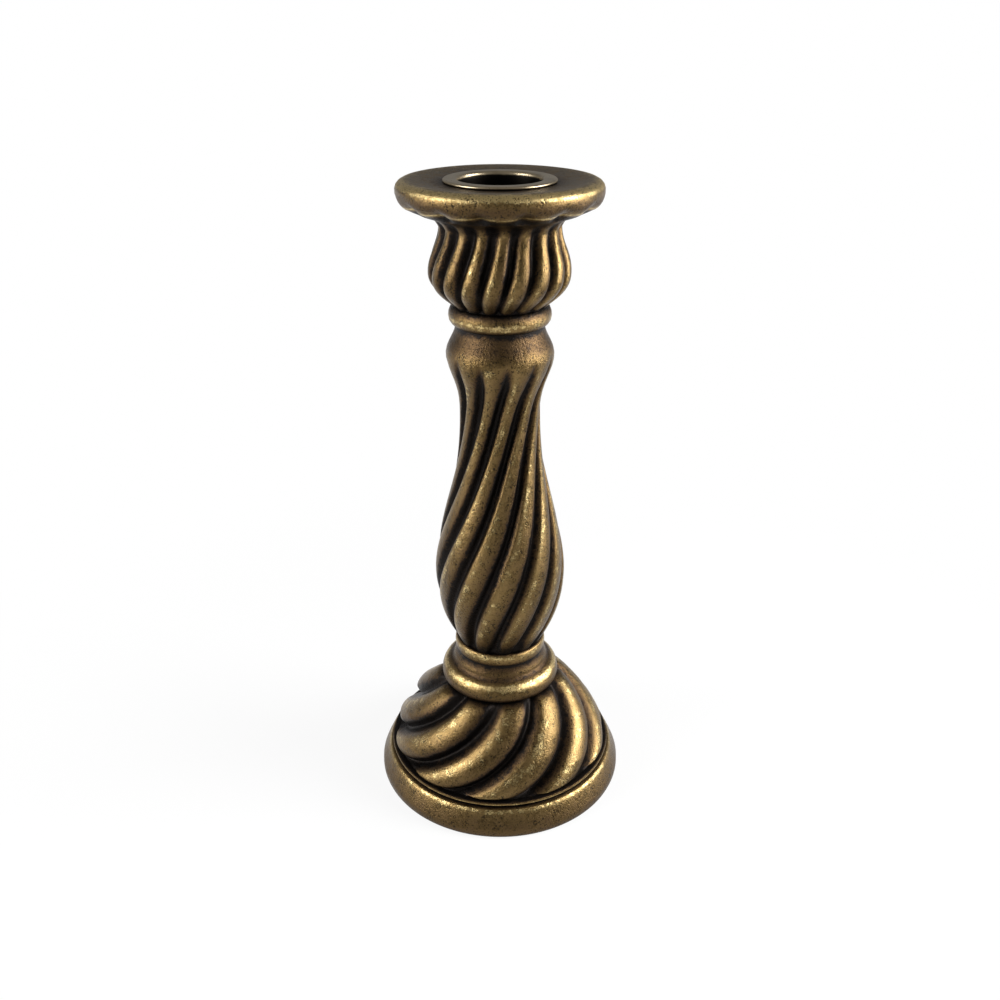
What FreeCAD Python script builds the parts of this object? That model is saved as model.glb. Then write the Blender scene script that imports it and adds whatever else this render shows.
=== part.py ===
"""Spiral candle holder: cast sections stacked on a steel tie rod, with a loose metal candle socket.

All sizes are in millimetres and all turns in degrees. +Z is up, the origin is the middle of the
resting face, and the front of the holder looks along -Y.
"""
import FreeCAD, Part
import math
import os

from FreeCAD import Vector

# Heights of the stacked pieces, from the table up
pad_proud = 0.3
foot_height = 36.2
collar_height = 16.1
stem_height = 107.0
ring_height = 5.9
cup_height = 33.5
flange_thickness = 1.0

# Foot: a sloping rim over a low upright edge, then a groove, a thin fillet and a ribbed dome
foot_rim_radius = 41.6
foot_rim_height = 9.2
foot_rim_edge = 2.7
foot_rim_bevel = 0.4
foot_fillet_radius = 37.8
foot_fillet_height = 1.1
foot_groove_width = 0.7
foot_groove_depth = 1.2
foot_dome_radius = 37.0
foot_top_radius = 21.4
foot_rib_count = 10
foot_rib_depth = 3.6
foot_rib_turn = 58.0
foot_rib_start = -23.0

# Collar: a fat ring, a cove and a bead
collar_ring_radius = 19.6
collar_ring_height = 6.8
collar_ring_tuck = 0.6
collar_ring_slope = 2.9
collar_cove_height = 5.0
collar_bead_radius = 15.0
collar_bead_tuck = 0.7

# Stem: a belly, a neck and a smooth cap, with twisted ribs up to the cap
stem_base_radius = 14.0
stem_belly_radius = 20.9
stem_belly_height = 25.4
stem_neck_radius = 12.2
stem_neck_height = 77.8
stem_cap_radius = 16.0
stem_cap_height = 97.8
stem_top_radius = 13.0
stem_rib_count = 12
stem_rib_depth = 2.0
stem_rib_turn = 108.4
stem_rib_start = -40.4

# Neck ring
ring_radius = 15.0
ring_tuck = 1.3

# Cup: a bowl of twisted ribs that flares out in scallops under a round, dished drip pan
bowl_height = 22.0
bowl_base_radius = 14.0
bowl_belly_radius = 20.5
bowl_belly_height = 9.0
bowl_waist_radius = 17.3
bowl_rib_count = 18
bowl_rib_depth = 2.2
bowl_rib_turn = 17.0
bowl_rib_start = -2.4
flare_height = 5.4
flare_radius = 24.6
scallop_count = 12
scallop_depth = 2.4
scallop_start = -15.0
pan_radius = 28.8
pan_under_radius = 25.3
pan_edge_rise = 2.0
pan_edge_round = 2.4
pan_floor_radius = 19.0
pan_dish_depth = 0.9

# Candle socket: a drawn metal liner that hangs in the cup by its flange
candle_bore_radius = 11.6
candle_bore_depth = 21.5
socket_wall = 0.7
socket_clearance = 0.3
socket_floor_gap = 0.5
flange_radius = 15.8
bore_lip_bevel = 0.5

# Tie rod with a washer and a nut at each end
rod_radius = 3.0
rod_clearance = 0.3
rod_end_length = 0.7
thread_clearance = 0.1
nut_width = 10.0
nut_side_count = 6
nut_height = 5.0
nut_pocket_clearance = 0.8
top_washer_radius = 6.0
bottom_washer_radius = 9.0
washer_thickness = 1.2

# Spigots under the stem and the cup: each goes through a loose ring into the section below
spigot_radius = 8.0
spigot_depth = 4.0
spigot_clearance = 0.2
spigot_gap = 0.3

# Felt pad in a recess under the foot
pad_radius = 37.0
pad_thickness = 2.0
pad_clearance = 0.3

# One overrun for every cut
overrun = 1.0

# Heights of the joints between the pieces
foot_z = pad_proud
collar_z = foot_z + foot_height
stem_z = collar_z + collar_height
ring_z = stem_z + stem_height
cup_z = ring_z + ring_height
pan_top_z = cup_z + cup_height
socket_top_z = pan_top_z + flange_thickness

# Pockets, all worked out from what they hold
rod_bore_radius = rod_radius + rod_clearance
socket_outer_radius = candle_bore_radius + socket_wall
socket_base_z = socket_top_z - candle_bore_depth - socket_wall
well_radius = socket_outer_radius + socket_clearance
well_floor_z = socket_base_z - socket_floor_gap
nut_corner_radius = nut_width / math.sqrt(3)
stack_height = washer_thickness + nut_height + rod_end_length
top_seat_z = well_floor_z - stack_height
pad_seat_z = pad_thickness
bottom_seat_z = pad_seat_z + stack_height + socket_floor_gap

# Where along its height the collar's ring is widest
collar_widest_share = 0.30

# How each stretch of the stem and the bowl swells or draws in: below 1 it does so early
stem_belly_ease_share = 0.55
stem_neck_ease_share = 0.90
stem_cap_ease_share = 1.60
bowl_belly_ease_share = 0.60
bowl_waist_ease_share = 1.10

# Foot ribs: share of the dome's height, of its fall in radius, of the groove depth and of the turn
dome_shares = (
    (0.00, 0.05, 0.80, 0.00),
    (0.05, 0.00, 1.00, 0.09),
    (0.27, 0.11, 1.00, 0.36),
    (0.50, 0.34, 1.00, 0.60),
    (0.75, 0.66, 0.90, 0.82),
    (1.00, 1.00, 0.70, 1.00),
)

# Stem ribs: share of the stem's height, of the groove depth and of the turn
stem_shares = (
    (0.00, 0.45, 0.00),
    (0.07, 0.95, 0.07),
    (0.14, 1.00, 0.14),
    (0.23, 1.00, 0.24),
    (0.33, 1.00, 0.35),
    (0.46, 1.00, 0.50),
    (0.59, 0.96, 0.655),
    (0.72, 0.88, 0.83),
    (0.79, 0.78, 0.92),
    (0.91, 0.00, 1.00),
    (1.00, 0.00, 1.00),
)

# Bowl ribs: share of the bowl's height, of the groove depth and of the turn
bowl_shares = (
    (0.00, 0.55, 0.00),
    (0.12, 0.95, 0.15),
    (0.27, 1.00, 0.32),
    (0.53, 1.00, 0.60),
    (1.00, 0.60, 1.00),
)

# Flare under the pan: share of its height, of its spread and of the scallops' depth
flare_shares = (
    (0.00, 0.00, 0.20),
    (0.60, 0.32, 0.50),
    (1.00, 1.00, 1.00),
)


def between(low, high, share):
    return low + (high - low) * share


def sway(low, high, share):
    """Ease from one radius to the next along half a cosine wave."""
    return between(low, high, (1 - math.cos(math.pi * share)) / 2)


def point_at(radius, turn, height):
    """A point at a radius and a turn from the front, anticlockwise seen from above."""
    angle = math.radians(turn)
    return Vector(radius * math.sin(angle), -radius * math.cos(angle), height)


def outline_point(radius, height):
    return Vector(radius, 0, height)


def revolve(edges):
    """Turn a closed outline in the XZ plane about the Z axis."""
    face = Part.Face(Part.Wire(edges))
    return face.revolve(Vector(0, 0, 0), Vector(0, 0, 1), 360)


def line(start, end):
    return Part.makeLine(outline_point(*start), outline_point(*end))


def arc(start, middle, end):
    curve = Part.Arc(outline_point(*start), outline_point(*middle), outline_point(*end))
    return curve.toBSpline().toShape()


def quarter(start, end):
    """A quarter round that leaves its start upright and ends level, further in and higher up."""
    reach = math.sin(math.pi / 4)
    middle = (between(end[0], start[0], reach), between(start[1], end[1], reach))
    return arc(start, middle, end)


def cylinder(radius, low_z, high_z):
    return Part.makeCylinder(radius, high_z - low_z, Vector(0, 0, low_z))


def rib_section(count, height, crest, depth, start):
    """A ring of arcs, each one bulging from groove to groove."""
    pitch = 360 / count
    groove = crest - depth
    arcs = []
    for index in range(count):
        turn = start + pitch * index
        left = point_at(groove, turn, height)
        top = point_at(crest, turn + pitch / 2, height)
        right = point_at(groove, turn + pitch, height)
        arcs.append(Part.Arc(left, top, right).toShape())
    return Part.Wire(arcs)


def ribbed_solid(count, stations, start):
    """A solid through rings of ribs; a station is height, crest radius, groove depth and turn."""
    sections = []
    for height, crest, depth, turn in stations:
        sections.append(rib_section(count, height, crest, depth, start + turn))
    return Part.makeLoft(sections, True, True)


def rod_hole(low_z, high_z):
    return cylinder(rod_bore_radius, low_z - overrun, high_z + overrun)


def spigot(base_z, top_z):
    return cylinder(spigot_radius, base_z - spigot_depth, top_z + overrun)


def spigot_recess(top_z):
    depth = spigot_depth + spigot_gap
    return cylinder(spigot_radius + spigot_clearance, top_z - depth, top_z + overrun)


def spigot_hole(low_z, high_z):
    return cylinder(spigot_radius + spigot_clearance, low_z - overrun, high_z + overrun)


def foot():
    rim_top_z = foot_z + foot_rim_height
    fillet_z = rim_top_z + foot_groove_width
    dome_z = fillet_z + foot_fillet_height
    groove_radius = foot_fillet_radius - foot_groove_depth
    toe = (foot_rim_radius - foot_rim_bevel, foot_z)
    edge_low = (foot_rim_radius, foot_z + foot_rim_bevel)
    edge_high = (foot_rim_radius, foot_z + foot_rim_edge)
    rim_top = (foot_fillet_radius, rim_top_z)
    rim = revolve([
        line((0, foot_z), toe),
        line(toe, edge_low),
        line(edge_low, edge_high),
        line(edge_high, rim_top),
        line(rim_top, (groove_radius, rim_top_z)),
        line((groove_radius, rim_top_z), (groove_radius, fillet_z)),
        line((groove_radius, fillet_z), (foot_fillet_radius, fillet_z)),
        line((foot_fillet_radius, fillet_z), (foot_fillet_radius, dome_z)),
        line((foot_fillet_radius, dome_z), (0, dome_z)),
        line((0, dome_z), (0, foot_z)),
    ])
    stations = []
    for height_share, fall_share, depth_share, turn_share in dome_shares:
        stations.append((
            between(dome_z, collar_z, height_share),
            between(foot_dome_radius, foot_top_radius, fall_share),
            foot_rib_depth * depth_share,
            foot_rib_turn * turn_share,
        ))
    dome = ribbed_solid(foot_rib_count, stations, foot_rib_start)
    body = rim.fuse(dome)
    body = body.cut(spigot_recess(collar_z))
    body = body.cut(rod_hole(foot_z, collar_z))
    body = body.cut(cylinder(pad_radius + pad_clearance, foot_z - overrun, pad_seat_z))
    pocket_radius = bottom_washer_radius + nut_pocket_clearance
    return body.cut(cylinder(pocket_radius, foot_z - overrun, bottom_seat_z))


def foot_collar():
    ring_top_z = collar_z + collar_ring_height
    bead_z = ring_top_z + collar_cove_height
    bead_side_radius = collar_bead_radius - collar_bead_tuck
    ring_low = (collar_ring_radius - collar_ring_tuck, collar_z)
    ring_widest = (collar_ring_radius, between(collar_z, ring_top_z, collar_widest_share))
    ring_high = (collar_ring_radius - collar_ring_slope, ring_top_z)
    bead_low = (bead_side_radius, bead_z)
    bead_widest = (collar_bead_radius, (bead_z + stem_z) / 2)
    bead_high = (bead_side_radius, stem_z)
    body = revolve([
        line((0, collar_z), ring_low),
        arc(ring_low, ring_widest, ring_high),
        line(ring_high, bead_low),
        arc(bead_low, bead_widest, bead_high),
        line(bead_high, (0, stem_z)),
        line((0, stem_z), (0, collar_z)),
    ])
    return body.cut(spigot_hole(collar_z, stem_z))


def stem_radius(height):
    if height < stem_belly_height:
        share = (height / stem_belly_height) ** stem_belly_ease_share
        return sway(stem_base_radius, stem_belly_radius, share)
    if height < stem_neck_height:
        share = (height - stem_belly_height) / (stem_neck_height - stem_belly_height)
        return sway(stem_belly_radius, stem_neck_radius, share ** stem_neck_ease_share)
    if height < stem_cap_height:
        share = (height - stem_neck_height) / (stem_cap_height - stem_neck_height)
        return sway(stem_neck_radius, stem_cap_radius, share ** stem_cap_ease_share)
    share = (height - stem_cap_height) / (stem_height - stem_cap_height)
    return sway(stem_cap_radius, stem_top_radius, share)


def stem():
    stations = []
    for height_share, depth_share, turn_share in stem_shares:
        height = stem_height * height_share
        stations.append((
            stem_z + height,
            stem_radius(height),
            stem_rib_depth * depth_share,
            stem_rib_turn * turn_share,
        ))
    body = ribbed_solid(stem_rib_count, stations, stem_rib_start)
    body = body.fuse(spigot(collar_z, stem_z))
    body = body.cut(spigot_recess(ring_z))
    return body.cut(rod_hole(collar_z - spigot_depth, ring_z))


def neck_ring():
    side_radius = ring_radius - ring_tuck
    low = (side_radius, ring_z)
    widest = (ring_radius, (ring_z + cup_z) / 2)
    high = (side_radius, cup_z)
    body = revolve([
        line((0, ring_z), low),
        arc(low, widest, high),
        line(high, (0, cup_z)),
        line((0, cup_z), (0, ring_z)),
    ])
    return body.cut(spigot_hole(ring_z, cup_z))


def bowl_radius(height):
    if height < bowl_belly_height:
        share = (height / bowl_belly_height) ** bowl_belly_ease_share
        return sway(bowl_base_radius, bowl_belly_radius, share)
    share = (height - bowl_belly_height) / (bowl_height - bowl_belly_height)
    return sway(bowl_belly_radius, bowl_waist_radius, share ** bowl_waist_ease_share)


def bowl():
    stations = []
    for height_share, depth_share, turn_share in bowl_shares:
        height = bowl_height * height_share
        stations.append((
            cup_z + height,
            bowl_radius(height),
            bowl_rib_depth * depth_share,
            bowl_rib_turn * turn_share,
        ))
    return ribbed_solid(bowl_rib_count, stations, bowl_rib_start)


def flare(low_z, high_z):
    stations = []
    for height_share, spread_share, depth_share in flare_shares:
        stations.append((
            between(low_z, high_z, height_share),
            between(bowl_waist_radius, flare_radius, spread_share),
            scallop_depth * depth_share,
            0,
        ))
    return ribbed_solid(scallop_count, stations, scallop_start)


def cup():
    flare_z = cup_z + bowl_height
    pan_z = flare_z + flare_height
    crown_z = pan_top_z + pan_dish_depth
    under = (pan_under_radius, pan_z)
    edge_low = (pan_radius, pan_z + pan_edge_rise)
    edge_high = (pan_radius, crown_z - pan_edge_round)
    crown = (pan_radius - pan_edge_round, crown_z)
    rim = (pan_floor_radius, pan_top_z)
    pan = revolve([
        line((0, pan_z), under),
        line(under, edge_low),
        line(edge_low, edge_high),
        quarter(edge_high, crown),
        line(crown, rim),
        line(rim, (0, pan_top_z)),
        line((0, pan_top_z), (0, pan_z)),
    ])
    body = pan.fuse([bowl(), flare(flare_z, pan_z), spigot(ring_z, cup_z)])
    body = body.cut(cylinder(well_radius, well_floor_z, pan_top_z + overrun))
    pocket_radius = top_washer_radius + nut_pocket_clearance
    body = body.cut(cylinder(pocket_radius, top_seat_z, well_floor_z + overrun))
    return body.cut(rod_hole(ring_z - spigot_depth, pan_top_z))


def candle_socket():
    edge_low = (flange_radius, pan_top_z)
    edge_high = (flange_radius, socket_top_z)
    lip_high = (candle_bore_radius + bore_lip_bevel, socket_top_z)
    lip_low = (candle_bore_radius, socket_top_z - bore_lip_bevel)
    floor_z = socket_base_z + socket_wall
    return revolve([
        line((0, socket_base_z), (socket_outer_radius, socket_base_z)),
        line((socket_outer_radius, socket_base_z), (socket_outer_radius, pan_top_z)),
        line((socket_outer_radius, pan_top_z), edge_low),
        line(edge_low, edge_high),
        line(edge_high, lip_high),
        line(lip_high, lip_low),
        line(lip_low, (candle_bore_radius, floor_z)),
        line((candle_bore_radius, floor_z), (0, floor_z)),
        line((0, floor_z), (0, socket_base_z)),
    ])


def tie_rod():
    low_z = bottom_seat_z - stack_height
    high_z = top_seat_z + stack_height
    return cylinder(rod_radius, low_z, high_z)


def washer(radius, low_z):
    body = cylinder(radius, low_z, low_z + washer_thickness)
    return body.cut(rod_hole(low_z, low_z + washer_thickness))


def nut(low_z):
    corners = []
    for side in range(nut_side_count + 1):
        corners.append(point_at(nut_corner_radius, 360 / nut_side_count * side, low_z))
    blank = Part.Face(Part.makePolygon(corners)).extrude(Vector(0, 0, nut_height))
    hole_radius = rod_radius + thread_clearance
    return blank.cut(cylinder(hole_radius, low_z - overrun, low_z + nut_height + overrun))


def foot_pad():
    return cylinder(pad_radius, 0, pad_thickness)


pieces = {
    "foot": foot(),
    "foot_collar": foot_collar(),
    "stem": stem(),
    "neck_ring": neck_ring(),
    "cup": cup(),
    "candle_socket": candle_socket(),
    "tie_rod": tie_rod(),
    "top_washer": washer(top_washer_radius, top_seat_z),
    "top_nut": nut(top_seat_z + washer_thickness),
    "bottom_washer": washer(bottom_washer_radius, bottom_seat_z - washer_thickness),
    "bottom_nut": nut(bottom_seat_z - washer_thickness - nut_height),
    "foot_pad": foot_pad(),
}

os.makedirs("parts", exist_ok=True)
for name, shape in pieces.items():
    shape.exportStep("parts/" + name + ".step")
    print(name, "valid", shape.isValid(), "solids", len(shape.Solids), "volume", round(shape.Volume))
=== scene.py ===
"""Spiral candle holder: the cast sections, the loose socket, their finishes, and the studio."""
import math

import bmesh
import bpy
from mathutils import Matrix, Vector


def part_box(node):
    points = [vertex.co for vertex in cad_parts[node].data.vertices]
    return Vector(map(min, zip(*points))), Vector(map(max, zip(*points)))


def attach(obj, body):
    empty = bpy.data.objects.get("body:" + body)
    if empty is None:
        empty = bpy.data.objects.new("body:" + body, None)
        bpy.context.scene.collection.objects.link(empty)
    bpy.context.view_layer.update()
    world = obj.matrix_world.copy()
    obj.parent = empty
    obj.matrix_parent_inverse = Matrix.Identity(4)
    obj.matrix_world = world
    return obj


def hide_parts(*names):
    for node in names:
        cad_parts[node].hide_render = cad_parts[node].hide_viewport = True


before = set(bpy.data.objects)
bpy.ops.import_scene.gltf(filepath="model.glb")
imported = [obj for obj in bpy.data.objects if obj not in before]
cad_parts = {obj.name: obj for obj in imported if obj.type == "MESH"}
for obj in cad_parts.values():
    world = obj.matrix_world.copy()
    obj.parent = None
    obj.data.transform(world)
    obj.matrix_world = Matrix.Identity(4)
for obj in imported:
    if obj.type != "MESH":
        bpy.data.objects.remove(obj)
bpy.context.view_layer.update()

MM = 0.001


def low_of(node):
    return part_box(node)[0].z


def high_of(node):
    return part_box(node)[1].z


def radius_of(node):
    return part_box(node)[1].x


# Heights of the seats between the pieces
foot_low = low_of("foot")
collar_low = low_of("foot_collar")
stem_low = high_of("foot_collar")
ring_low = low_of("neck_ring")
cup_low = high_of("neck_ring")
cup_high = high_of("cup")
pad_high = high_of("foot_pad")
stem_spigot_low = low_of("stem")
cup_spigot_low = low_of("cup")
socket_low = low_of("candle_socket")
socket_high = high_of("candle_socket")
flange_thickness = 1.0 * MM
pan_floor = socket_high - flange_thickness

# Room left between the pieces
loose_fit = 0.3 * MM
spigot_fit = 0.2 * MM
pocket_room = 0.8 * MM
well_room = 0.5 * MM

# Holes, spigots and pockets, worked out from what they hold
rod_hole = radius_of("tie_rod") + loose_fit
spigot_radius = 8.0 * MM
spigot_hole = spigot_radius + spigot_fit
spigot_recess = collar_low - stem_spigot_low + loose_fit
top_pocket = radius_of("top_washer") + pocket_room
top_seat = low_of("top_washer")
bottom_pocket = radius_of("bottom_washer") + pocket_room
bottom_seat = high_of("bottom_washer")
pad_recess = radius_of("foot_pad") + loose_fit
bore_radius = 11.6 * MM
socket_wall = 0.7 * MM
skirt_radius = bore_radius + socket_wall
well_radius = skirt_radius + loose_fit
well_floor = socket_low - well_room


def between(low, high, share):
    return low + (high - low) * share


def sway(low, high, share):
    """Ease from one value to the next along half a cosine wave."""
    return between(low, high, (1 - math.cos(math.pi * share)) / 2)


def ease(none, full, value):
    """0 as far as none, 1 from full on, smooth between; full may be the lower of the two."""
    share = min(max((value - none) / (full - none), 0.0), 1.0)
    return share * share * (3 - 2 * share)


def shade(table, place):
    """How dark a place is; a share row is the place with none, the place with all, and how much."""
    return sum(amount * ease(none, full, place) for none, full, amount in table)


def read(table, place):
    """The columns of a table at a place, along straight lines between its rows."""
    for above, below in zip(table, table[1:]):
        if place <= below[0]:
            share = (place - above[0]) / (below[0] - above[0])
            return [between(first, second, share) for first, second in zip(above[1:], below[1:])]
    return list(table[-1][1:])


class Row:
    """One ring of a casting: its height and radius, its grooves, and the dark paint it keeps.

    Paint is 1 where it is black, 0 where it is gold, and below 0 where a highlight is painted in pale
    gold; many rows also raise it as painted shade.
    """

    def __init__(self, z, radius, dark=0.0, crease=0.0, depth=0.0, turn=None, width=1.0,
                 lift=0.0, scalloped=False):
        self.z = z
        self.radius = radius
        self.dark = dark
        self.crease = crease
        self.depth = depth
        self.turn = turn
        self.width = width
        self.lift = lift
        self.scalloped = scalloped


def plain_rows(low, high, wide, narrow, table):
    """Rows without grooves; a share row is place, way inwards and dark paint, which many tables also
    use for painted shade and, below 0, painted highlight.
    """
    return [
        Row(between(low, high, place), between(wide, narrow, inward), dark)
        for place, inward, dark in table
    ]


def sharp_rows(*corners):
    """Rows with hard edges, for seats and holes; a corner is a height and a radius."""
    return [Row(z, radius, dark=1.0, crease=1.0) for z, radius in corners]


def spigot_rows(low, seat):
    """A spigot round the rod's hole, from its end up to the seat that it passes through."""
    return sharp_rows((low, rod_hole), (low, spigot_radius), (seat, spigot_radius))


def recess_rows(seat):
    """The recess in a top face that takes the next spigot, down to the rod's hole."""
    floor = seat - spigot_recess
    return sharp_rows((seat, spigot_hole), (floor, spigot_hole), (floor, rod_hole))


def ribbed_rows(low, high, places, outline, table, depth, turn, shading):
    """Rows with twisted grooves; a share row is place, groove depth, turn and groove width."""
    rows = []
    for place in places:
        deep, turned, width = read(table, place)
        rows.append(Row(
            between(low, high, place),
            outline(place),
            dark=shade(shading, place),
            depth=depth * deep,
            turn=turn * turned,
            width=width,
        ))
    return rows


def crowded(steps, power):
    """Places from 0 to 1 that lie closer together at the start."""
    return [(step / steps) ** power for step in range(steps + 1)]


# Section across a rib, from its crown to the middle of a groove
slope_share = 0.16
paint_inner_share = 0.40
paint_outer_share = 0.20

# Sides of a rib, from one groove to the next: painted shade on the one, a painted highlight on the
# other
rib_shade_shares = (0.35, 0.80)
rib_shade_share = 0.35
rib_highlight_rise_shares = (0.08, 0.20)
rib_highlight_fall_shares = (0.50, 0.24)
rib_highlight_share = 0.20

# Grooves at least this deep keep all their paint
painted_depth = 1.2 * MM

# Points round a casting without ribs, the ring that every casting starts from, and the sharpest
# edge that looks smooth
plain_points = 144
unit_radius = 1.0
smooth_angle = math.radians(50)

# Places whose moves agree to this many digits are moved together
same_digits = 6


class Turning:
    """A closed casting, pulled from one ring of points along an outline, row by row.

    start is where its first groove lies, in degrees round from the front. crown is how round its
    ribs are, from 0, flat, to 1, and skew below 1 leans them to one side.
    """

    def __init__(self, name, points=plain_points, ribs=1, start=0.0, crown=0.0, skew=1.0,
                 scallops=1, scallop_start=0.0):
        self.points = points
        self.ribs = ribs
        self.start = start
        self.crown = crown
        self.skew = skew
        self.scallops = scallops
        self.scallop_start = scallop_start
        self.turn = 0.0
        bpy.ops.object.select_all(action="DESELECT")
        bpy.ops.mesh.primitive_circle_add(vertices=points, radius=unit_radius)
        self.piece = bpy.context.object
        self.piece.name = name
        self.piece.data.name = name
        bpy.ops.object.mode_set(mode="EDIT")
        bpy.ops.mesh.select_mode(type="VERT")
        bpy.ops.mesh.select_all(action="SELECT")
        self.rotate(start)
        self.ring = list(range(points))
        self.radii = [unit_radius] * points
        self.heights = [0.0] * points

    def rotate(self, degrees):
        angle = -math.radians(degrees)
        bpy.ops.transform.rotate(value=angle, orient_axis="Z", center_override=(0, 0, 0))

    def mesh(self):
        shape = bmesh.from_edit_mesh(self.piece.data)
        shape.verts.ensure_lookup_table()
        return shape

    def pick(self, places):
        """Select these places of the ring, and none of its others."""
        shape = self.mesh()
        for place, index in enumerate(self.ring):
            shape.verts[index].select_set(place in places)
        shape.select_flush(True)
        bmesh.update_edit_mesh(self.piece.data, loop_triangles=False, destructive=False)

    def pick_ring(self, ring):
        self.ring = ring
        self.pick(range(self.points))

    def angles(self):
        """Degrees round from the front, for each place of the ring."""
        shape = self.mesh()
        spots = [shape.verts[index].co for index in self.ring]
        return [math.degrees(math.atan2(spot.x, -spot.y)) for spot in spots]

    def groove(self, row, angle):
        """How deep a place lies in its groove, and how much paint the groove keeps there, with painted
        shade down one side of each rib and a painted highlight up the other.
        """
        if row.scalloped:
            side = (angle - self.scallop_start) * self.scallops / 360 % 1
            return abs(1 - 2 * side) ** 2, 0.0
        side = (angle - self.start - self.turn) * self.ribs / 360 % 1
        away = abs(1 - 2 * side ** self.skew)
        edge = 1 - row.width
        deep = ease(edge - slope_share, edge + slope_share, away)
        paint = ease(edge - paint_inner_share, edge + paint_outer_share, away)
        # Painted shade on one side of the rib, and a painted highlight on the other
        rib_shade = rib_shade_share * ease(*rib_shade_shares, side)
        bright = rib_highlight_share * ease(*rib_highlight_rise_shares, side) * ease(*rib_highlight_fall_shares, side)
        return between(deep, away ** 2, self.crown), paint + rib_shade - bright

    def groups(self, values):
        """Each value, with the places of the ring that share it."""
        places = {}
        for place, value in enumerate(values):
            places.setdefault(round(value, same_digits), set()).add(place)
        return places.items()

    def shape_ring(self, row):
        """Turn the ring, then move its places out to their radii and up to their heights."""
        if row.turn is not None:
            self.rotate(row.turn - self.turn)
            self.turn = row.turn
        grooves = [self.groove(row, angle) for angle in self.angles()]
        radii = [row.radius - row.depth * deep for deep, paint in grooves]
        for factor, places in self.groups([new / old for new, old in zip(radii, self.radii)]):
            self.pick(places)
            bpy.ops.transform.resize(value=(factor, factor, 1), center_override=(0, 0, 0))
        self.radii = radii
        heights = [row.z + row.lift * deep for deep, paint in grooves]
        for rise, places in self.groups([new - old for new, old in zip(heights, self.heights)]):
            self.pick(places)
            bpy.ops.transform.translate(value=(0, 0, rise))
        self.heights = heights
        self.pick_ring(self.ring)
        bpy.ops.transform.edge_crease(value=row.crease)
        self.paint_ring(row, [paint for deep, paint in grooves])

    def paint_ring(self, row, paints):
        """Note where dark paint stays, in grooves, and the painted shade and painted highlight that a
        row asks for all round.
        """
        shape = self.mesh()
        layer = shape.verts.layers.float.get("dark") or shape.verts.layers.float.new("dark")
        shape.verts.ensure_lookup_table()
        share = min(1.0, row.depth / painted_depth)
        for index, paint in zip(self.ring, paints):
            shape.verts[index][layer] = min(1.0, row.dark + paint * share)

    def pull(self, rows, bored=True):
        """Pull every row, close the ends on each other or each on its own, and smooth the casting."""
        first = self.ring
        self.shape_ring(rows[0])
        for row in rows[1:]:
            bpy.ops.mesh.extrude_edges_move()
            count = len(self.mesh().verts)
            self.ring = list(range(count - self.points, count))
            self.shape_ring(row)
        if bored:
            self.pick_ring(first)
            bpy.ops.mesh.bridge_edge_loops()
        else:
            bpy.ops.mesh.merge(type="COLLAPSE")
            bpy.ops.mesh.select_all(action="DESELECT")
            self.pick_ring(first)
            bpy.ops.mesh.merge(type="COLLAPSE")
        bpy.ops.mesh.select_all(action="SELECT")
        bpy.ops.mesh.normals_make_consistent(inside=False)
        bpy.ops.object.mode_set(mode="OBJECT")
        bpy.ops.object.modifier_add(type="SUBSURF")
        smooth = self.piece.modifiers[-1]
        smooth.levels = 1
        smooth.render_levels = 1
        bpy.ops.object.modifier_apply(modifier=smooth.name)
        bpy.ops.object.shade_smooth_by_angle(angle=smooth_angle)
        return self.piece


# Foot
foot_radius = radius_of("foot")
foot_rim_height = 8.9 * MM
foot_rim_high = foot_low + foot_rim_height
foot_fillet_height = 2.1 * MM
foot_fillet_radius = 37.8 * MM
foot_fillet_depth = 1.2 * MM
foot_dome_low = foot_rim_high + foot_fillet_height
foot_dome_radius = 37.0 * MM
foot_top_radius = 21.4 * MM
foot_ribs = 10
foot_points = 18 * foot_ribs
foot_rib_start = -23.0
foot_rib_depth = 4.8 * MM
foot_rib_turn = 58.0
foot_crown_share = 0.68
foot_skew = 0.8
foot_steps = 34
foot_crowding = 1.4

# Rim: place up its slope, way inwards and dark paint, which is painted shade growing towards the
# bottom, and below 0 a painted highlight on the lip under the top edge
foot_rim_shares = (
    (0.00, 0.20, 0.90),
    (0.03, 0.06, 0.60),
    (0.10, 0.00, 0.40),
    (0.28, 0.02, 0.30),
    (0.44, 0.17, 0.28),
    (0.62, 0.36, 0.22),
    (0.80, 0.56, 0.05),
    (0.92, 0.71, -0.25),
    (0.98, 0.84, -0.20),
    (1.00, 1.00, 0.30),
)

# Groove and fillet between the rim and the dome: place up, way inwards and dark paint; below 0 it is a
# painted highlight along the fillet's crown
foot_fillet_shares = (
    (0.03, 0.30, 0.60),
    (0.10, 0.75, 1.00),
    (0.30, 0.80, 1.00),
    (0.42, 0.40, 0.60),
    (0.52, 0.10, 0.00),
    (0.66, 0.00, -0.30),
    (0.85, 0.05, 0.10),
    (0.94, 0.35, 0.80),
    (0.98, 0.90, 1.00),
    (1.00, 1.30, 1.00),
)

# Dome: place up and way inwards; the upper end tucks in under the collar
foot_dome_shares = (
    (0.00, 0.07),
    (0.02, 0.01),
    (0.05, 0.00),
    (0.12, 0.03),
    (0.24, 0.10),
    (0.44, 0.28),
    (0.62, 0.49),
    (0.80, 0.73),
    (0.90, 0.88),
    (0.96, 1.00),
    (1.00, 1.16),
)

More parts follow.
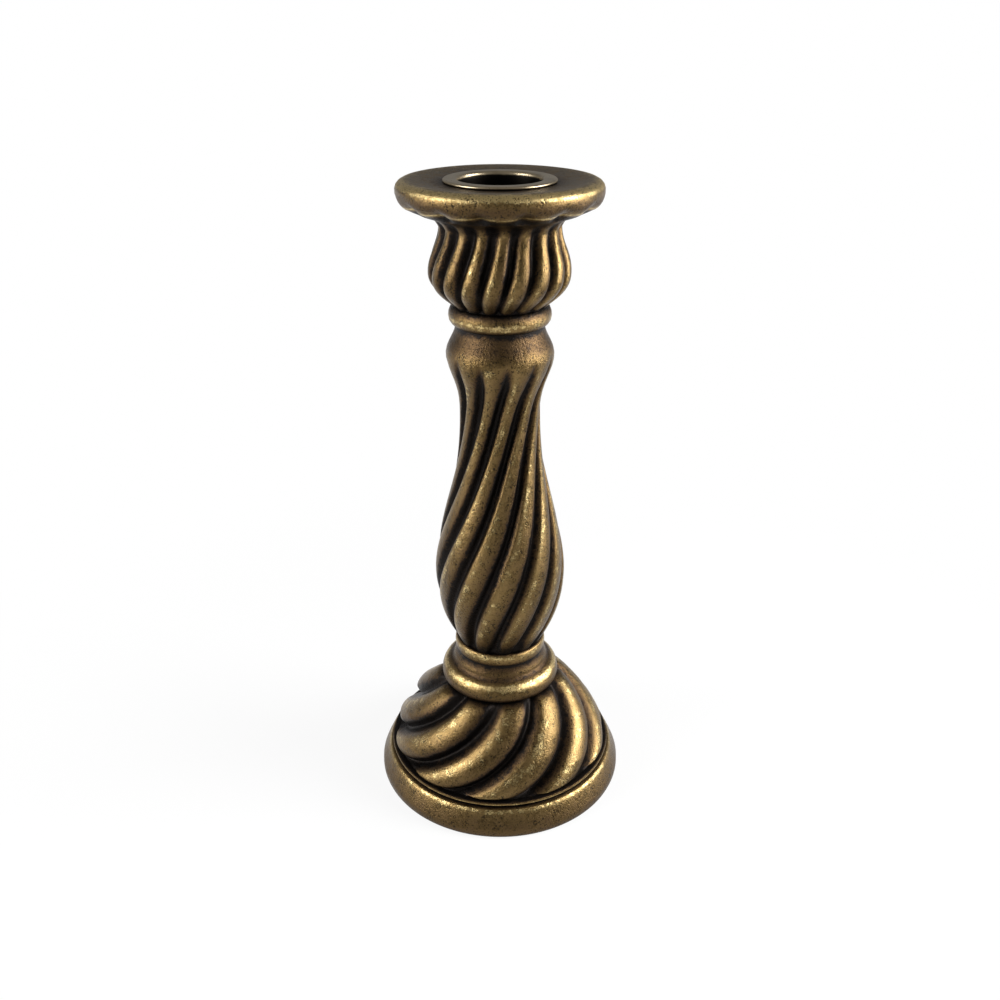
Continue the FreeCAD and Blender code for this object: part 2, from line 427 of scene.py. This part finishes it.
# Ribs of the dome: place up, groove depth, turn and groove width
foot_rib_shares = (
    (0.00, 0.05, 0.000, 0.50),
    (0.02, 0.60, 0.035, 0.36),
    (0.05, 0.90, 0.090, 0.29),
    (0.12, 1.00, 0.190, 0.25),
    (0.24, 1.00, 0.330, 0.24),
    (0.44, 1.00, 0.540, 0.24),
    (0.62, 0.97, 0.710, 0.25),
    (0.80, 0.90, 0.860, 0.28),
    (0.90, 0.84, 0.930, 0.29),
    (0.96, 0.78, 0.975, 0.30),
    (1.00, 0.70, 1.000, 0.32),
)

# Dark at both ends of the dome, next to the fillet and under the collar
foot_shade_shares = (
    (0.02, 0.00, 1.00),
    (0.95, 1.00, 1.00),
)


def foot_outline(place):
    return between(foot_dome_radius, foot_top_radius, read(foot_dome_shares, place)[0])


def make_foot():
    turning = Turning(
        "foot_casting", foot_points, foot_ribs, foot_rib_start, foot_crown_share, foot_skew
    )
    groove_radius = foot_fillet_radius - foot_fillet_depth
    rows = sharp_rows(
        (bottom_seat, rod_hole),
        (bottom_seat, bottom_pocket),
        (pad_high, bottom_pocket),
        (pad_high, pad_recess),
        (foot_low, pad_recess),
    )
    rows += plain_rows(foot_low, foot_rim_high, foot_radius, foot_fillet_radius, foot_rim_shares)
    rows += plain_rows(
        foot_rim_high, foot_dome_low, foot_fillet_radius, groove_radius, foot_fillet_shares
    )
    rows += ribbed_rows(
        foot_dome_low, collar_low, crowded(foot_steps, foot_crowding), foot_outline,
        foot_rib_shares, foot_rib_depth, foot_rib_turn, foot_shade_shares,
    )
    rows += recess_rows(collar_low)
    return turning.pull(rows)


# Collar
collar_ring_radius = radius_of("foot_collar")
collar_ring_height = 6.8 * MM
collar_ring_high = collar_low + collar_ring_height
collar_bead_height = 4.3 * MM
collar_bead_low = stem_low - collar_bead_height
collar_bead_radius = 15.0 * MM
collar_cove_radius = 14.3 * MM

# Ring, hollow and bead of the collar: place up, way inwards and dark paint; on the ring it is painted
# shade over the lower part and, below 0, a painted highlight over the upper part, and on the bead a
# painted highlight round its middle
collar_ring_shares = (
    (0.00, 0.45, 1.00),
    (0.05, 0.20, 0.80),
    (0.13, 0.06, 0.60),
    (0.26, 0.00, 0.42),
    (0.44, 0.01, 0.25),
    (0.60, 0.06, 0.05),
    (0.75, 0.16, -0.30),
    (0.88, 0.31, -0.35),
    (0.97, 0.48, 0.15),
    (1.02, 0.60, 0.60),
)
collar_cove_shares = (
    (0.10, 0.68, 0.60),
    (0.22, 0.76, 0.40),
    (0.40, 0.80, 0.25),
    (0.60, 0.90, 0.45),
    (0.80, 0.98, 0.70),
    (0.94, 1.00, 1.00),
    (1.00, 1.00, 1.00),
)
collar_bead_shares = (
    (0.00, 0.90, 1.00),
    (0.08, 0.45, 0.60),
    (0.22, 0.12, 0.20),
    (0.50, 0.00, -0.10),
    (0.75, 0.10, -0.30),
    (0.90, 0.45, -0.10),
    (0.99, 1.20, 0.60),
    (1.00, 2.40, 1.00),
)


def make_foot_collar():
    turning = Turning("collar_casting")
    rows = sharp_rows((collar_low, spigot_hole))
    for low, high, wide, table in (
        (collar_low, collar_ring_high, collar_ring_radius, collar_ring_shares),
        (collar_ring_high, collar_bead_low, collar_ring_radius, collar_cove_shares),
        (collar_bead_low, stem_low, collar_bead_radius, collar_bead_shares),
    ):
        rows += plain_rows(low, high, wide, collar_cove_radius, table)
    rows += sharp_rows((stem_low, spigot_hole))
    return turning.pull(rows)


# Edges where the stem and the cup stand on a ring are half rounded
base_crease = 0.5

# Stem
stem_base_radius = 14.0 * MM
stem_base_tuck = 1.5 * MM
stem_belly_radius = 20.9 * MM
stem_neck_radius = 12.2 * MM
stem_cap_radius = 16.0 * MM
stem_top_radius = 13.0 * MM
stem_ribs = 12
stem_points = 16 * stem_ribs
stem_rib_start = -39.2
stem_rib_depth = 2.2 * MM
stem_rib_turn = 108.4
stem_crown_share = 0.35
stem_skew = 0.9
stem_steps = 52
stem_crowding_share = 0.6

# Outline of the stem: radius below and above, the share of the height where it ends, and how
# early it swells
stem_swells = (
    (stem_base_radius, stem_belly_radius, 0.237, 0.55),
    (stem_belly_radius, stem_neck_radius, 0.727, 0.90),
    (stem_neck_radius, stem_cap_radius, 0.914, 1.60),
    (stem_cap_radius, stem_top_radius, 1.000, 1.00),
)

# Ribs of the stem: place up, groove depth, turn and groove width
stem_rib_shares = (
    (0.000, 0.30, 0.000, 0.50),
    (0.020, 0.80, 0.020, 0.34),
    (0.060, 1.00, 0.060, 0.27),
    (0.140, 1.00, 0.140, 0.25),
    (0.230, 1.00, 0.240, 0.25),
    (0.330, 1.00, 0.350, 0.25),
    (0.460, 1.00, 0.500, 0.27),
    (0.590, 0.96, 0.655, 0.33),
    (0.720, 0.92, 0.830, 0.39),
    (0.800, 0.88, 0.930, 0.37),
    (0.850, 0.75, 0.980, 0.29),
    (0.885, 0.50, 0.995, 0.17),
    (0.908, 0.25, 1.000, 0.08),
    (0.925, 0.00, 1.000, 0.04),
    (1.000, 0.00, 1.000, 0.04),
)

# Dark at the stem's base and at its top, where it meets the collar and the ring, and painted shade over
# the top of its cap
stem_shade_shares = (
    (0.06, 0.01, 1.00),
    (0.91, 0.96, 0.50),
    (0.98, 1.00, 0.50),
)


def swell(table, place):
    """The radius at a place of an outline that sways from one radius to the next."""
    start = 0.0
    for below, above, end, power in table:
        if place <= end:
            return sway(below, above, ((place - start) / (end - start)) ** power)
        start = end
    return above


def stem_outline(place):
    return swell(stem_swells, place)


def make_stem():
    turning = Turning(
        "stem_casting", stem_points, stem_ribs, stem_rib_start, stem_crown_share, stem_skew
    )
    even = [step / stem_steps for step in range(stem_steps + 1)]
    places = [between(place, sway(0.0, 1.0, place), stem_crowding_share) for place in even]
    rows = spigot_rows(stem_spigot_low, stem_low)
    rows.append(Row(stem_low, stem_base_radius - stem_base_tuck, dark=1.0, crease=base_crease))
    rows += ribbed_rows(
        stem_low, ring_low, places, stem_outline,
        stem_rib_shares, stem_rib_depth, stem_rib_turn, stem_shade_shares,
    )
    rows += recess_rows(ring_low)
    return turning.pull(rows)


# Neck ring
neck_ring_radius = radius_of("neck_ring")
neck_ring_tuck = 1.4 * MM

# Neck ring: place up, way inwards and dark paint, which is a painted highlight, below 0, round its
# lower middle and painted shade over its upper part
neck_ring_shares = (
    (0.00, 1.80, 1.00),
    (0.02, 1.00, 0.90),
    (0.10, 0.55, 0.40),
    (0.24, 0.15, -0.10),
    (0.44, 0.00, -0.25),
    (0.62, 0.08, 0.15),
    (0.82, 0.42, 0.65),
    (0.96, 1.00, 0.90),
    (1.00, 1.80, 1.00),
)


def make_neck_ring():
    turning = Turning("neck_ring_casting")
    tucked_radius = neck_ring_radius - neck_ring_tuck
    rows = sharp_rows((ring_low, spigot_hole))
    rows += plain_rows(ring_low, cup_low, neck_ring_radius, tucked_radius, neck_ring_shares)
    rows += sharp_rows((cup_low, spigot_hole))
    return turning.pull(rows)


# Cup
bowl_base_radius = 14.0 * MM
bowl_base_tuck = 1.6 * MM
bowl_belly_radius = 20.5 * MM
bowl_waist_radius = 17.3 * MM
bowl_height = 22.0 * MM
bowl_high = cup_low + bowl_height
bowl_ribs = 18
bowl_points = 10 * bowl_ribs
bowl_rib_start = -2.4
bowl_rib_depth = 2.5 * MM
bowl_rib_turn = 17.0
bowl_crown_share = 0.5
bowl_skew = 1.0
bowl_steps = 24
bowl_crowding = 1.2
flare_height = 4.0 * MM
flare_groove_share = 0.48
lip_low = bowl_high + flare_height
lip_height = 5.0 * MM
lip_radius = 23.2 * MM
scallops = 15
scallop_start = -10.8
scallop_depth = 2.4 * MM
scallop_lift = 0.5 * MM
pan_wide = lip_low + lip_height
pan_radius = radius_of("cup")
pan_floor_radius = 19.0 * MM
flange_radius = radius_of("candle_socket")
flange_tuck = 1.0 * MM

# Outline of the bowl: radius below and above, the share of the height where it ends, and how
# early it swells
bowl_swells = (
    (bowl_base_radius, bowl_belly_radius, 0.41, 0.60),
    (bowl_belly_radius, bowl_waist_radius, 1.00, 1.10),
)

# Ribs of the bowl: place up, groove depth, turn and groove width
bowl_rib_shares = (
    (0.00, 0.30, 0.00, 0.40),
    (0.05, 0.85, 0.06, 0.22),
    (0.12, 1.00, 0.15, 0.16),
    (0.27, 1.00, 0.32, 0.15),
    (0.53, 1.00, 0.60, 0.28),
    (0.80, 0.90, 0.83, 0.38),
    (1.00, 0.60, 1.00, 0.40),
)

# Dark at the bowl's base, where it meets the ring
bowl_shade_shares = (
    (0.05, 0.00, 1.00),
)

# Flare over the bowl: place up, way outwards, rib depth and dark paint, which grows upwards as painted
# shade under the pan
flare_shares = (
    (0.22, 0.08, 0.46, 0.10),
    (0.44, 0.18, 0.34, 0.20),
    (0.62, 0.33, 0.24, 0.28),
    (0.78, 0.55, 0.14, 0.36),
    (0.90, 0.77, 0.06, 0.46),
    (1.00, 1.00, 0.00, 0.60),
)

# Scalloped lip under the pan: place up to the widest, way outwards, scallop depth and dark paint, which
# is painted shade under the lip and on the band above, and below 0 a painted highlight along the
# scallops' edge
lip_shares = (
    (0.12, 0.28, 0.70, 1.00),
    (0.24, 0.50, 0.95, 0.80),
    (0.32, 0.66, 1.00, 0.00),
    (0.40, 0.76, 0.95, -0.45),
    (0.52, 0.86, 0.70, 0.10),
    (0.68, 0.95, 0.35, 0.42),
    (0.84, 0.99, 0.12, 0.42),
)

# Pan: place up from the widest to the crown, way inwards to the dished floor, and dark paint, which is
# painted shade low on the roll and by the flange, and below 0 a painted highlight over the upper roll
pan_shares = (
    (0.00, 0.00, 0.35),
    (0.34, 0.00, 0.05),
    (0.60, 0.03, -0.40),
    (0.80, 0.09, -0.55),
    (0.94, 0.18, -0.45),
    (1.00, 0.30, -0.20),
    (0.96, 0.45, -0.05),
    (0.86, 0.70, 0.05),
    (0.76, 0.95, 0.15),
    (0.74, 1.20, 0.50),
)


def bowl_outline(place):
    return swell(bowl_swells, place)


def flare_row(place, outward, deep, dark):
    return Row(
        between(bowl_high, lip_low, place),
        between(bowl_waist_radius, lip_radius, outward),
        dark=dark,
        depth=bowl_rib_depth * deep,
        width=flare_groove_share,
    )


def lip_row(place, outward, deep, dark):
    return Row(
        between(lip_low, pan_wide, place),
        between(lip_radius, pan_radius, outward),
        dark=dark,
        depth=scallop_depth * deep,
        lift=scallop_lift * deep,
        scalloped=True,
    )


def make_cup():
    turning = Turning(
        "cup_casting", bowl_points, bowl_ribs, bowl_rib_start, bowl_crown_share, bowl_skew,
        scallops, scallop_start
    )
    rows = spigot_rows(cup_spigot_low, cup_low)
    rows.append(Row(cup_low, bowl_base_radius - bowl_base_tuck, dark=1.0, crease=base_crease))
    rows += ribbed_rows(
        cup_low, bowl_high, crowded(bowl_steps, bowl_crowding), bowl_outline,
        bowl_rib_shares, bowl_rib_depth, bowl_rib_turn, bowl_shade_shares,
    )
    rows += [flare_row(*shares) for shares in flare_shares]
    rows += [lip_row(*shares) for shares in lip_shares]
    rows += plain_rows(pan_wide, cup_high, pan_radius, pan_floor_radius, pan_shares)
    rows += sharp_rows(
        (pan_floor, flange_radius - flange_tuck),
        (pan_floor, well_radius),
        (well_floor, well_radius),
        (well_floor, top_pocket),
        (top_seat, top_pocket),
        (top_seat, rod_hole),
    )
    return turning.pull(rows)


# Socket
bore_round = 0.8 * MM
bore_floor = socket_low + socket_wall

# Bore: place down from the flange's top to the floor, way outwards, and painted shade, black deep in
# the bore
bore_shares = (
    (0.90, 0.00, 1.00),
    (0.20, 0.00, 1.00),
    (0.07, 0.00, 0.90),
    (0.03, 0.12, 0.10),
    (0.01, 0.40, 0.00),
    (0.00, 1.00, 0.00),
)

# Flange: place down its edge, way inwards from the edge, and painted shade in the gap under it
flange_shares = (
    (0.00, 1.60, 0.00),
    (0.04, 0.60, 0.00),
    (0.20, 0.14, 0.00),
    (0.50, 0.00, 0.00),
    (0.80, 0.14, 0.20),
    (1.00, 0.60, 0.80),
)


def make_socket():
    turning = Turning("candle_socket_metal")
    # The bore's floor, black as painted shade
    rows = [
        Row(bore_floor, bore_round, dark=1.0),
        Row(bore_floor, bore_radius - bore_round, dark=1.0),
        Row(bore_floor + bore_round, bore_radius, dark=1.0),
    ]
    rows += plain_rows(socket_high, bore_floor, bore_radius, bore_radius + bore_round, bore_shares)
    rows += plain_rows(socket_high, pan_floor, flange_radius, flange_radius - bore_round, flange_shares)
    rows += [
        Row(pan_floor, skirt_radius, crease=1.0),
        Row(socket_low + bore_round, skirt_radius),
        Row(socket_low, skirt_radius - bore_round),
        Row(socket_low, bore_round),
    ]
    return turning.pull(rows, bored=False)


castings = {
    "foot": make_foot(),
    "foot_collar": make_foot_collar(),
    "stem": make_stem(),
    "neck_ring": make_neck_ring(),
    "cup": make_cup(),
}
socket = make_socket()


class Wire:
    """A shader value; sums and products of wires add the Math nodes that they need."""

    def __init__(self, nodes, socket):
        self.nodes = nodes
        self.socket = socket

    def __add__(self, other):
        return self.nodes.math("ADD", self, other)

    __radd__ = __add__

    def __sub__(self, other):
        return self.nodes.math("SUBTRACT", self, other)

    def __rsub__(self, other):
        return self.nodes.math("SUBTRACT", other, self)

    def __mul__(self, other):
        return self.nodes.math("MULTIPLY", self, other)

    __rmul__ = __mul__

    def swing(self, amount):
        """A pattern's way up or down from its middle, so many times as strong."""
        return (self - 0.5) * amount


class Nodes:
    """The node tree of a material or of the sky."""

    def __init__(self, owner):
        owner.use_nodes = True
        self.tree = owner.node_tree
        self.tree.nodes.clear()

    def node(self, kind, settings, inputs):
        node = self.tree.nodes.new(kind)
        for name, value in settings.items():
            setattr(node, name, value)
        for name, value in inputs.items():
            self.feed(node.inputs[name], value)
        return node

    def feed(self, socket, value):
        if isinstance(value, Wire):
            self.tree.links.new(value.socket, socket)
        elif socket.type == "RGBA":
            socket.default_value = (*value, 1.0)
        else:
            socket.default_value = value

    def out(self, kind, settings, inputs, output=0):
        return Wire(self, self.node(kind, settings, inputs).outputs[output])

    def math(self, operation, first, second):
        return self.out("ShaderNodeMath", {"operation": operation}, {0: first, 1: second})

    def rays(self):
        """1 for what the eye sees itself, what it sees mirrored, and what it sees through glass."""
        path = self.node("ShaderNodeLightPath", {}, {})
        kinds = ("Is Camera Ray", "Is Glossy Ray", "Is Transmission Ray")
        return [Wire(self, path.outputs[kind]) for kind in kinds]


class Finish(Nodes):
    """A material with one surface, in the object's own coordinates."""

    def __init__(self, name):
        self.material = bpy.data.materials.new(name)
        super().__init__(self.material)
        self.principled = self.node("ShaderNodeBsdfPrincipled", {}, {})
        self.surface = Wire(self, self.principled.outputs[0])
        self.output = self.node("ShaderNodeOutputMaterial", {}, {"Surface": self.surface})
        self.place = self.out("ShaderNodeTexCoord", {}, {}, "Object")

    def set(self, **values):
        for name, value in values.items():
            self.feed(self.principled.inputs[name.replace("_", " ").title()], value)

    def noise(self, scale, detail, roughness, distortion=0.0, place=None):
        inputs = {
            "Vector": place or self.place,
            "Scale": scale,
            "Detail": detail,
            "Roughness": roughness,
            "Distortion": distortion,
        }
        return self.out("ShaderNodeTexNoise", {}, inputs, "Fac")

    def kept(self):
        """What each ring of a casting keeps: dark paint, painted shade, and below 0 painted highlight.
        """
        return self.out("ShaderNodeAttribute", {"attribute_name": "dark"}, {}, "Fac")

    def ramp(self, value, none, full):
        """0 as far as none, 1 from full on, smooth between; full may be the lower of the two."""
        inputs = {"Value": value, "From Min": none, "From Max": full}
        return self.out("ShaderNodeMapRange", {"interpolation_type": "SMOOTHSTEP"}, inputs)

    def mix(self, share, first, second):
        """A colour between two others."""
        share_input, first_input, second_input, colour_output = 0, 6, 7, 2
        inputs = {share_input: share, first_input: first, second_input: second}
        return self.out("ShaderNodeMix", {"data_type": "RGBA"}, inputs, colour_output)

    def bump(self, height, distance, strength):
        inputs = {"Height": height, "Distance": distance, "Strength": strength}
        return self.out("ShaderNodeBump", {}, inputs)


# Gold paint: its colours, its relief in depth and strength, and its gloss
DEEP_GOLD = (0.095, 0.060, 0.022)
PALE_GOLD = (0.225, 0.148, 0.058)
# Pale gold of the painted highlights and the painted glints
HIGHLIGHT_GOLD = (0.60, 0.45, 0.20)
UMBER = (0.050, 0.028, 0.016)
BLACK_PAINT = (0.011, 0.009, 0.008)
paint_relief = (0.45 * MM, 0.8)
paint_metallic = 0.96
paint_roughness = 0.25

# Patterns of the paint: features to the metre, detail and roughness
paint_clouds = (130.0, 3.0, 0.55)
paint_mottle = (420.0, 4.0, 0.60)
paint_grain = (1500.0, 4.0, 0.65)
paint_pits = (2300.0, 2.0, 0.50)

# Coats of the paint, the painted highlight and the painted glints among them: the pattern's value where
# it starts to show, and where it shows in full
black_shares = (0.45, 0.90)
umber_shares = (-0.05, 0.60)
highlight_shares = (0.00, -0.55)
speck_shares = (0.47, 0.40)
streak_shares = (0.43, 0.59)
sparkle_shares = (0.56, 0.72)

# How strongly the patterns fray the coats' edges, and how well a coat covers
mottle_fray = 1.3
grain_fray = 0.9
umber_fray = 0.8
highlight_fray = 0.5
umber_cover_share = 0.80
speck_cover_share = 0.85
sparkle_cover_share = 0.30


def antique_gold():
    """Gold paint brushed over black-brown, which stays in the hollows and shows through in specks, with
    highlights and glints painted in pale gold.
    """
    finish = Finish("antique_gold_paint")
    cloud = finish.noise(*paint_clouds)
    mottle = finish.noise(*paint_mottle)
    grain = finish.noise(*paint_grain)
    pits = finish.noise(*paint_pits)
    ragged = finish.kept() + mottle.swing(mottle_fray) + grain.swing(grain_fray)
    black = finish.ramp(ragged, *black_shares)
    umber = finish.ramp(ragged + cloud.swing(umber_fray), *umber_shares)
    # Painted highlight, where a ring's dark value falls below 0
    highlight = finish.ramp(ragged + cloud.swing(highlight_fray), *highlight_shares)
    speck = finish.ramp(pits * 0.5 + grain * 0.2 + mottle * 0.3, *speck_shares)
    streaks = finish.ramp(cloud * 0.3 + mottle * 0.4 + grain * 0.3, *streak_shares)
    # Painted glints in pale gold, scattered with the grain
    sparkle = finish.ramp(grain, *sparkle_shares) * sparkle_cover_share
    brushed = finish.mix(streaks, DEEP_GOLD, PALE_GOLD)
    bright = finish.mix(finish.ramp(highlight + sparkle, 0.0, 1.0), brushed, HIGHLIGHT_GOLD)
    shaded = finish.mix(umber * umber_cover_share, bright, UMBER)
    specked = finish.mix(speck * speck_cover_share, shaded, BLACK_PAINT)
    finish.set(
        base_color=finish.mix(black, specked, BLACK_PAINT),
        metallic=paint_metallic,
        roughness=paint_roughness + grain * 0.14 + umber * 0.12,
        normal=finish.bump(mottle * 0.5 + grain * 0.35 + pits * 0.3, *paint_relief),
    )
    return finish.material


# Brass plate of the socket, with its values as above, and where it tarnishes in clouds and is darkened
# as painted shade down the bore and under the flange
BRASS_PLATE = (0.43, 0.35, 0.23)
TARNISH_AND_SHADE = (0.007, 0.006, 0.005)
brass_relief = (0.1 * MM, 0.3)
brass_roughness = 0.22
brass_clouds = (160.0, 4.0, 0.55)
brass_grain = (1500.0, 3.0, 0.55)
tarnish_and_shade_shares = (0.30, 0.95)


def socket_metal():
    """Sheet metal with a dull brass plating, tarnished in clouds, and black with painted shade down the
    bore and in the gap under the flange.
    """
    finish = Finish("socket_brass_plate")
    cloud = finish.noise(*brass_clouds)
    grain = finish.noise(*brass_grain)
    # Tarnish in clouds, together with the painted shade of the bore and of the flange's gap
    tarnish_and_shade = finish.ramp(cloud * 0.8 + finish.kept(), *tarnish_and_shade_shares)
    finish.set(
        base_color=finish.mix(tarnish_and_shade, BRASS_PLATE, TARNISH_AND_SHADE),
        metallic=1.0,
        roughness=brass_roughness + grain * 0.14 + tarnish_and_shade * 0.12,
        normal=finish.bump(grain, *brass_relief),
    )
    return finish.material


# Zinc plate of the rod, nuts and washers, with its values as above, and marks drawn out round them
DULL_ZINC = (0.52, 0.52, 0.53)
BRIGHT_ZINC = (0.66, 0.66, 0.64)
zinc_relief = (0.1 * MM, 0.4)
zinc_roughness = 0.28
zinc_marks = (900.0, 2.0, 0.55)
zinc_stretch_shares = (1.0, 1.0, 12.0)
zinc_clouds = (200.0, 3.0, 0.55)


def zinc_steel():
    """Bright zinc-plated steel with fine turning marks."""
    finish = Finish("zinc_steel")
    drawn = {"Vector": finish.place, "Scale": zinc_stretch_shares}
    marks = finish.noise(*zinc_marks, place=finish.out("ShaderNodeMapping", {}, drawn))
    cloud = finish.noise(*zinc_clouds)
    finish.set(
        base_color=finish.mix(cloud, DULL_ZINC, BRIGHT_ZINC),
        metallic=1.0,
        roughness=zinc_roughness + marks * 0.18,
        normal=finish.bump(marks, *zinc_relief),
    )
    return finish.material


# Felt of the foot's pad, with its values as above, and how far its fibres curl
FELT_SHADE = (0.010, 0.010, 0.011)
FELT_FIBRE = (0.055, 0.054, 0.052)
felt_relief = (0.6 * MM, 0.8)
felt_roughness = 0.9
felt_fibres = (1600.0, 6.0, 0.70)
felt_curl = 1.5
felt_clouds = (220.0, 3.0, 0.55)


def black_felt():
    """Pressed black felt with loose fibres."""
    finish = Finish("black_felt")
    fibre = finish.noise(*felt_fibres, distortion=felt_curl)
    cloud = finish.noise(*felt_clouds)
    finish.set(
        base_color=finish.mix(fibre * 0.7 + cloud * 0.3, FELT_SHADE, FELT_FIBRE),
        roughness=felt_roughness + fibre * 0.1,
        normal=finish.bump(fibre, *felt_relief),
    )
    return finish.material


def clothe(piece, material):
    piece.data.materials.clear()
    piece.data.materials.append(material)


gold_paint = antique_gold()
for node, piece in castings.items():
    clothe(piece, gold_paint)
    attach(piece, "holder")
    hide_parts(node)
clothe(socket, socket_metal())
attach(socket, "socket")
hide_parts("candle_socket")

steel = zinc_steel()
for node in ("tie_rod", "top_washer", "top_nut", "bottom_washer", "bottom_nut"):
    clothe(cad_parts[node], steel)
clothe(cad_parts["foot_pad"], black_felt())


# Camera in front of the candle holder and above it, looking down; its lens is as long as its
# picture is wide
camera_distance = 0.2825
camera_height = 0.243
camera_pitch = math.radians(26.53)
camera_lens = 36.0
camera_near = 10 * MM

# Floor: its width, its white, and how it shines to the eye from the shadow outwards
WHITE = (1.0, 1.0, 1.0)
FLOOR_WHITE = (0.86, 0.86, 0.86)
floor_width = 6.0
floor_roughness = 0.9
shadow_radius = 0.06
plain_radius = 0.25
shadow_glow_share = 0.88

# Sky: how much of it shows at all, and how much more of it is mirrored
sky_share = 0.10
sky_mirror_share = 0.15

# Softboxes, turned to the middle of the candle holder: place, width, height and watts
softboxes = {
    "left_box": ((-0.56, -0.20, 0.34), 0.30, 0.40, 4.4),
    "right_box": ((0.56, -0.06, 0.33), 0.34, 0.40, 7.4),
}
middle = Vector((0.0, 0.0, socket_high / 2))


def place_camera():
    camera_data = bpy.data.cameras.new("camera")
    camera_data.sensor_width = camera_lens
    camera_data.lens = camera_lens
    camera_data.clip_start = camera_near
    camera = bpy.data.objects.new("camera", camera_data)
    camera.location = (0.0, -camera_distance, camera_height)
    camera.rotation_euler = (math.pi / 2 - camera_pitch, 0.0, 0.0)
    bpy.context.collection.objects.link(camera)
    bpy.context.scene.camera = camera


def softbox(name, location, width, height, watts):
    light_data = bpy.data.lights.new(name, "AREA")
    light_data.shape = "RECTANGLE"
    light_data.size = width
    light_data.size_y = height
    light_data.energy = watts
    light = bpy.data.objects.new(name, light_data)
    light.location = location
    toward = middle - light.location
    light.rotation_euler = toward.to_track_quat("-Z", "Y").to_euler()
    bpy.context.collection.objects.link(light)


def pale_floor():
    """White to the eye and in reflections, with the object's shadow near it."""
    finish = Finish("pale_floor")
    finish.set(base_color=FLOOR_WHITE, roughness=floor_roughness)
    seen, mirrored, through = finish.rays()
    away = finish.out("ShaderNodeVectorMath", {"operation": "LENGTH"}, {0: finish.place}, "Value")
    beyond = finish.ramp(away, shadow_radius, plain_radius)
    share = (seen + mirrored + through) * (shadow_glow_share + beyond * (1 - shadow_glow_share))
    glow = finish.out("ShaderNodeEmission", {}, {"Color": WHITE, "Strength": 1.0})
    blend = finish.out("ShaderNodeMixShader", {}, {0: share, 1: finish.surface, 2: glow})
    finish.feed(finish.output.inputs["Surface"], blend)
    return finish.material


def studio_sky():
    """White to the eye, dim round the object."""
    world = bpy.data.worlds.new("studio")
    bpy.context.scene.world = world
    sky = Nodes(world)
    seen, mirrored, through = sky.rays()
    strength = sky.math("MAXIMUM", seen, (mirrored + through) * sky_mirror_share + sky_share)
    glow = sky.out("ShaderNodeBackground", {}, {"Color": WHITE, "Strength": strength})
    sky.node("ShaderNodeOutputWorld", {}, {"Surface": glow})


def build_studio():
    bpy.ops.object.select_all(action="DESELECT")
    bpy.ops.mesh.primitive_plane_add(size=floor_width, location=(0.0, 0.0, 0.0))
    floor = bpy.context.object
    floor.name = "floor"
    clothe(floor, pale_floor())
    studio_sky()
    for name, (location, width, height, watts) in softboxes.items():
        softbox(name, location, width, height, watts)


place_camera()
build_studio()
bpy.context.scene.view_settings.view_transform = "Standard"
